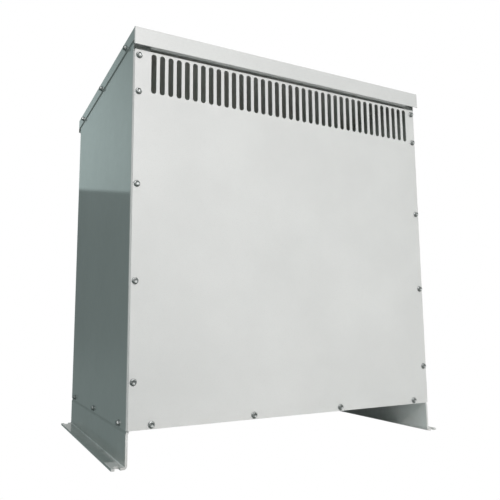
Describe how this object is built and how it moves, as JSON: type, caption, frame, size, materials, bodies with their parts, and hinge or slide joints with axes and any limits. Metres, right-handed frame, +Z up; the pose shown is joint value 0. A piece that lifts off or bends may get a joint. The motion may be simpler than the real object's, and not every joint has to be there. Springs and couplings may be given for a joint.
{
  "type": "ventilated dry-type transformer",
  "caption": "Three-phase dry-type power transformer in a floor-standing grey sheet-steel enclosure, with slotted vents under an overhanging cover and flanged feet.",
  "frame": {"origin": "on the floor under the middle of the enclosure", "axes": "+Z up, +X to the right seen from the front, the front panel faces -Y"},
  "size_m": [0.84, 0.61, 0.8995],
  "materials": {
    "enclosure_paint": "light grey semi-gloss powder coat",
    "zinc_steel": "zinc plated",
    "plated_steel": "yellow-grey zinc plated",
    "black_steel": "black primer",
    "core_steel": "varnished laminations",
    "lv_winding": "foil under amber varnish",
    "hv_winding": "wire under brown varnish",
    "insulating_board": "red glass-polyester laminate",
    "black_rubber": "matt",
    "bus_aluminium": "brushed, tin plated at the pads",
    "stud_brass": "dull",
    "lead_insulation": "satin sleeve",
    "strap_metal": "tinned braid"
  },
  "bodies": {
    "enclosure": {"bottom_yoke": "core_steel", "clamp_bolts": "plated_steel", "core_limb_left": "core_steel", "core_limb_middle": "core_steel", "core_limb_right": "core_steel", "duct_spacers": "insulating_board", "front_bottom_clamp": "black_steel", "front_bottom_rail": "enclosure_paint", "front_core_channel": "black_steel", "front_top_clamp": "black_steel", "front_top_rail": "enclosure_paint", "ground_lug": "bus_aluminium", "ground_strap": "strap_metal", "ground_strap_bolts": "plated_steel", "hold_down_bolts": "plated_steel", "hv_board_bolts": "plated_steel", "hv_board_brackets": "plated_steel", "hv_coil_left": "hv_winding", "hv_coil_middle": "hv_winding", "hv_coil_right": "hv_winding", "hv_delta_leads": "lead_insulation", "hv_tap_boards": "insulating_board", "hv_tap_links": "stud_brass", "hv_tap_studs": "stud_brass", "hv_terminal_bars": "bus_aluminium", "hv_terminal_board": "insulating_board", "isolation_pads": "black_rubber", "left_foot": "enclosure_paint", "left_side_panel": "enclosure_paint", "left_side_screws": "zinc_steel", "lifting_lugs": "black_steel", "lower_coil_blocks": "insulating_board", "lv_board_bolts": "plated_steel", "lv_board_brackets": "plated_steel", "lv_coil_left": "lv_winding", "lv_coil_middle": "lv_winding", "lv_coil_right": "lv_winding", "lv_neutral_bus": "bus_aluminium", "lv_phase_bar_left": "bus_aluminium", "lv_phase_bar_middle": "bus_aluminium", "lv_phase_bar_right": "bus_aluminium", "lv_terminal_board": "insulating_board", "rear_bottom_clamp": "black_steel", "rear_bottom_rail": "enclosure_paint", "rear_core_channel": "black_steel", "rear_top_clamp": "black_steel", "rear_top_rail": "enclosure_paint", "right_foot": "enclosure_paint", "right_side_panel": "enclosure_paint", "right_side_screws": "zinc_steel", "tie_rods": "plated_steel", "top_yoke": "core_steel", "upper_coil_blocks": "insulating_board"},
    "front_cover": {"front_panel": "enclosure_paint", "front_panel_screws": "zinc_steel"},
    "rear_cover": {"rear_panel": "enclosure_paint", "rear_panel_screws": "zinc_steel"},
    "lift_off_top": {"top_cover": "enclosure_paint", "top_cover_screws": "zinc_steel"}
  },
  "joints": [
    {"name": "front_panel_pull", "type": "slide", "parent": "enclosure", "child": "front_cover", "axis": [0, -1, 0], "range_m": [0, 0.35]},
    {"name": "rear_panel_pull", "type": "slide", "parent": "enclosure", "child": "rear_cover", "axis": [0, 1, 0], "range_m": [0, 0.35]},
    {"name": "top_cover_lift", "type": "slide", "parent": "enclosure", "child": "lift_off_top", "axis": [0, 0, 1], "range_m": [0, 0.25]}
  ]
}
